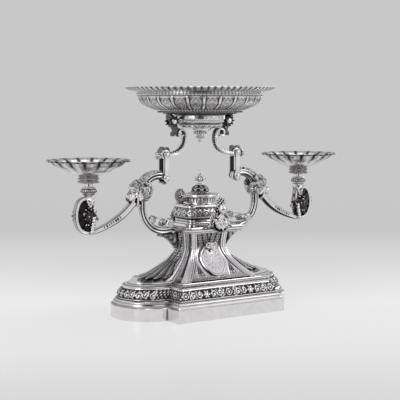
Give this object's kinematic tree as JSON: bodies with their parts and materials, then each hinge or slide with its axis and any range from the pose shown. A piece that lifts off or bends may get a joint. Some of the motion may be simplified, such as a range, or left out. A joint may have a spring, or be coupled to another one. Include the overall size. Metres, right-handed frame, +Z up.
{
  "type": "table centerpiece",
  "caption": "Silver table centerpiece: a scalloped bowl on two scrolled arms above a lidded casket and pedestal, with a side dish on each branch.",
  "frame": {"origin": "on the vertical axis through the bowl and pedestal, at the underside of the base", "axes": "+Z up, the two arms along X, the front oval plate towards -Y"},
  "size_m": [0.6392, 0.2894, 0.429],
  "materials": {
    "silver": "polished silver",
    "dark_silver": "chased silver with dark oxide in its hollows",
    "fixings": "plain steel"
  },
  "bodies": {
    "base": {"arm_bracket_left": "dark_silver", "arm_bracket_right": "dark_silver", "arm_leaf_left": "silver", "arm_leaf_right": "silver", "arm_left": "silver", "arm_right": "silver", "boss_pin_left": "silver", "boss_pin_right": "silver", "branch_left": "silver", "branch_right": "silver", "bust_back": "silver", "bust_front": "silver", "cartouche_back": "silver", "cartouche_front": "silver", "casket_base": "silver", "casket_body": "silver", "casket_collar": "silver", "casket_handle": "dark_silver", "cheek_back_left": "silver", "cheek_back_right": "silver", "cheek_front_left": "silver", "cheek_front_right": "silver", "cornice": "silver", "cup": "silver", "cup_console_left": "dark_silver", "cup_console_right": "dark_silver", "curl_pin_left": "silver", "curl_pin_right": "silver", "end_roll_left": "silver", "end_roll_right": "silver", "frieze": "dark_silver", "lion_mask_left": "silver", "lion_mask_right": "silver", "lobe_leaf_left": "dark_silver", "lobe_leaf_right": "dark_silver", "pedestal": "silver", "pendant": "silver", "pendant_nut": "fixings", "platform": "silver", "plinth": "silver", "rod_bar": "fixings", "rod_nut_lower": "fixings", "rod_nut_upper": "fixings", "socket_left": "silver", "socket_right": "silver", "swan_neck_left": "silver", "swan_neck_right": "silver", "tie_rod": "fixings"},
    "bowl": {"bowl": "silver"},
    "lid": {"lid": "silver", "finial": "silver"},
    "dish_right": {"dish_right": "silver"},
    "dish_left": {"dish_left": "silver"},
    "thumb_screw_right": {"thumb_screw_right": "silver"},
    "thumb_screw_left": {"thumb_screw_left": "silver"}
  },
  "joints": [
    {"name": "bowl_lift", "type": "slide", "parent": "base", "child": "bowl", "axis": [0, 0, 1], "range_m": [0, 0.06]},
    {"name": "lid_lift", "type": "slide", "parent": "base", "child": "lid", "axis": [0, 0, 1], "range_m": [0, 0.04]},
    {"name": "dish_right_lift", "type": "slide", "parent": "base", "child": "dish_right", "axis": [0, 0, 1], "range_m": [0, 0.05]},
    {"name": "dish_left_lift", "type": "slide", "parent": "base", "child": "dish_left", "axis": [0, 0, 1], "range_m": [0, 0.05]},
    {"name": "thumb_screw_right_turn", "type": "hinge", "parent": "base", "child": "thumb_screw_right", "pos_m": [0.097, 0, 0.3005], "axis": [1, 0, 0], "continuous": true},
    {"name": "thumb_screw_left_turn", "type": "hinge", "parent": "base", "child": "thumb_screw_left", "pos_m": [-0.097, 0, 0.3005], "axis": [-1, 0, 0], "continuous": true}
  ]
}
